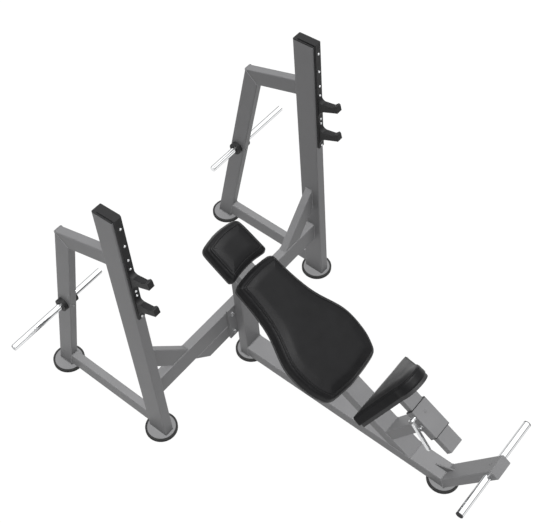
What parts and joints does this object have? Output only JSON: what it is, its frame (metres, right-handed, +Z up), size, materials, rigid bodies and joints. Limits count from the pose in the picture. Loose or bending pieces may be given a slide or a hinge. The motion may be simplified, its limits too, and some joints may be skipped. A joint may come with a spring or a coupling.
{
  "type": "incline bench press station",
  "caption": "Incline bench press station: leaning side frames with bar hooks and plate horns, a fixed inclined back and head pad, a sliding seat with a lock lever, and a foot bar.",
  "frame": {"origin": "on the floor, centre of the underside of the rubber foot under the centre post", "axes": "+Z up, -Y towards the foot bar at the front, +X to the side frame on the right of somebody who stands at the foot bar and faces the backrest"},
  "size_m": [1.768, 2.0255, 1.44],
  "materials": {
    "grey_paint": "satin powder coat",
    "black_plastic": "matte",
    "rubber": "matte",
    "chrome": "polished",
    "zinc_steel": "zinc plated",
    "black_vinyl": "satin vinyl",
    "board": "black stained plywood"
  },
  "bodies": {
    "frame": {"back_beam": "grey_paint", "back_board": "board", "back_pad": "black_vinyl", "base_rail": "grey_paint", "beam_end_cap": "black_plastic", "bench_rubber_feet": "rubber", "centre_post": "grey_paint", "cross_flats": "grey_paint", "crossbar": "grey_paint", "crossbar_plate": "grey_paint", "crossbar_stiffener": "grey_paint", "foot_bar": "chrome", "foot_bar_caps": "black_plastic", "foot_plates": "grey_paint", "front_foot_spacer": "grey_paint", "front_tube": "grey_paint", "front_tube_cap": "grey_paint", "guard_screws": "zinc_steel", "gusset": "grey_paint", "head_board": "board", "head_pad": "black_vinyl", "left_bar_guard": "black_plastic", "left_bar_hooks": "black_plastic", "left_brace": "grey_paint", "left_horn_collars": "black_plastic", "left_plate_horn": "chrome", "left_rack_rubber_feet": "rubber", "left_rear_post": "grey_paint", "left_side_rail": "grey_paint", "left_top_tube": "grey_paint", "left_upright": "grey_paint", "left_upright_cap": "black_plastic", "lever_pivot": "grey_paint", "lever_spring": "zinc_steel", "pad_screws": "zinc_steel", "plate_bolts": "zinc_steel", "post_plate": "grey_paint", "right_bar_guard": "black_plastic", "right_bar_hooks": "black_plastic", "right_brace": "grey_paint", "right_horn_collars": "black_plastic", "right_plate_horn": "chrome", "right_rack_rubber_feet": "rubber", "right_rear_post": "grey_paint", "right_side_rail": "grey_paint", "right_top_tube": "grey_paint", "right_upright": "grey_paint", "right_upright_cap": "black_plastic", "seat_bushes": "black_plastic", "seat_post": "grey_paint", "seat_sleeve": "grey_paint", "set_screws": "grey_paint"},
    "seat": {"seat_tube": "grey_paint", "seat_tube_cap": "grey_paint", "seat_plate": "grey_paint", "seat_screws": "zinc_steel", "seat_board": "board", "seat_pad": "black_vinyl"},
    "lever": {"lever": "zinc_steel"},
    "lock_pin": {"lock_pin": "chrome"}
  },
  "joints": [
    {"name": "seat_slide", "type": "slide", "parent": "frame", "child": "seat", "axis": [0, 0.8699, 0.4932], "range_m": [-0.06, 0.06]},
    {"name": "lever_swing", "type": "hinge", "parent": "frame", "child": "lever", "pos_m": [-0.066, -0.91332, 0.42208], "axis": [-1, 0, 0], "range_deg": [0, 22]},
    {"name": "pin_slide", "type": "slide", "parent": "frame", "child": "lock_pin", "axis": [1, 0, 0], "range_m": [0, 0.01]}
  ],
  "couplings": [
    {"joint": "pin_slide", "follows": "lever_swing", "m_per_rad": 0.02604}
  ]
}
